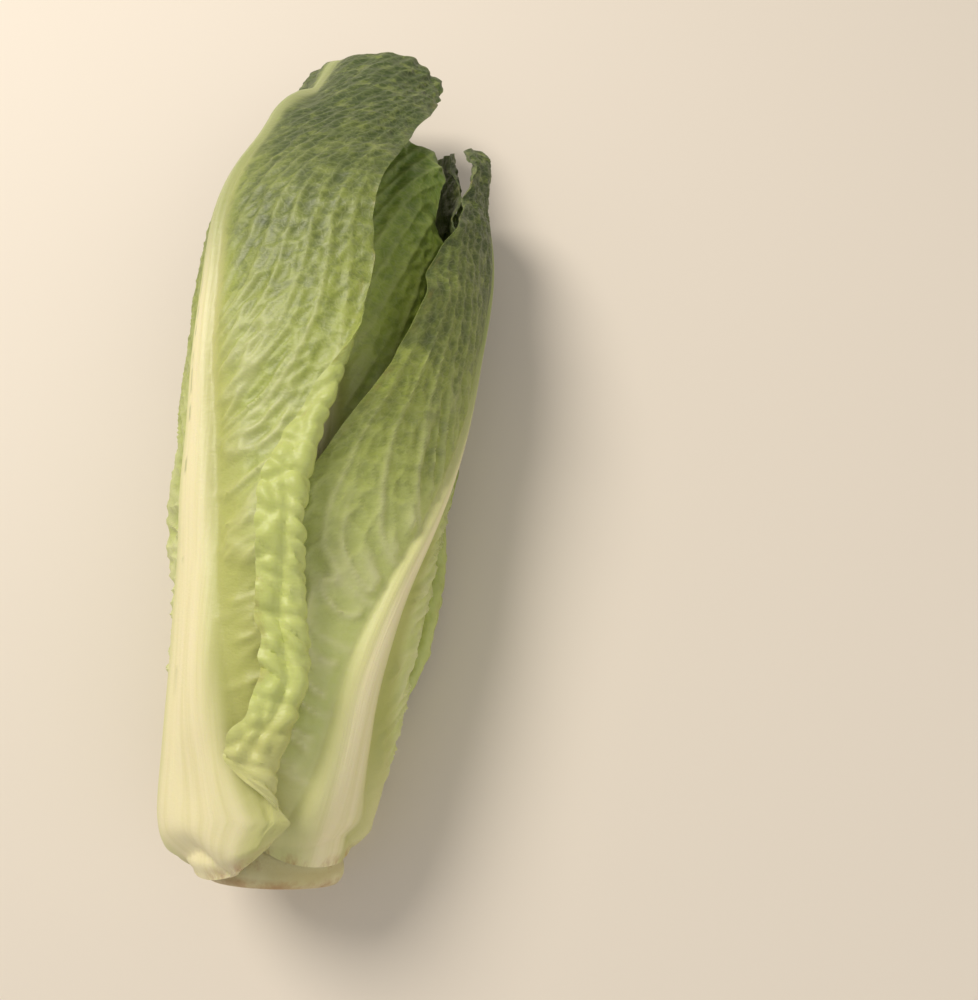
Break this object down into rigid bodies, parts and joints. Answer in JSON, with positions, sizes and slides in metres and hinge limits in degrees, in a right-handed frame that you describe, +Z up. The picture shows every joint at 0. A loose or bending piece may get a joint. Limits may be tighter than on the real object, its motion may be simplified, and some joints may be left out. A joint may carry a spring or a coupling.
{
  "type": "romaine lettuce head",
  "caption": "Romaine lettuce head lying on its side, with ribbed, ruffled leaves wrapped in layers round a short cut stem.",
  "frame": {"origin": "on the resting surface, under the middle of the head's length and width", "axes": "+Y runs along the head from the cut butt to the leaf tips, +Z is up from the resting surface"},
  "size_m": [0.097, 0.281, 0.0757],
  "materials": {
    "stem": "moist cut plant stem, cream with a tan cut face",
    "outer_leaf": "waxy leaf, cream rib, pale green blade, dark green crown",
    "middle_leaf": "waxy leaf, cream rib, pale green blade",
    "heart_leaf": "tender pale yellow leaf"
  },
  "bodies": {
    "root": {"stem": "stem", "outer_leaf_1": "outer_leaf", "outer_leaf_2": "outer_leaf", "outer_leaf_3": "outer_leaf", "outer_leaf_4": "outer_leaf", "outer_leaf_5": "outer_leaf", "middle_leaf_1": "middle_leaf", "middle_leaf_2": "middle_leaf", "middle_leaf_3": "middle_leaf", "middle_leaf_4": "middle_leaf", "heart_leaf_1": "heart_leaf", "heart_leaf_2": "heart_leaf", "heart_leaf_3": "heart_leaf"}
  },
  "joints": []
}
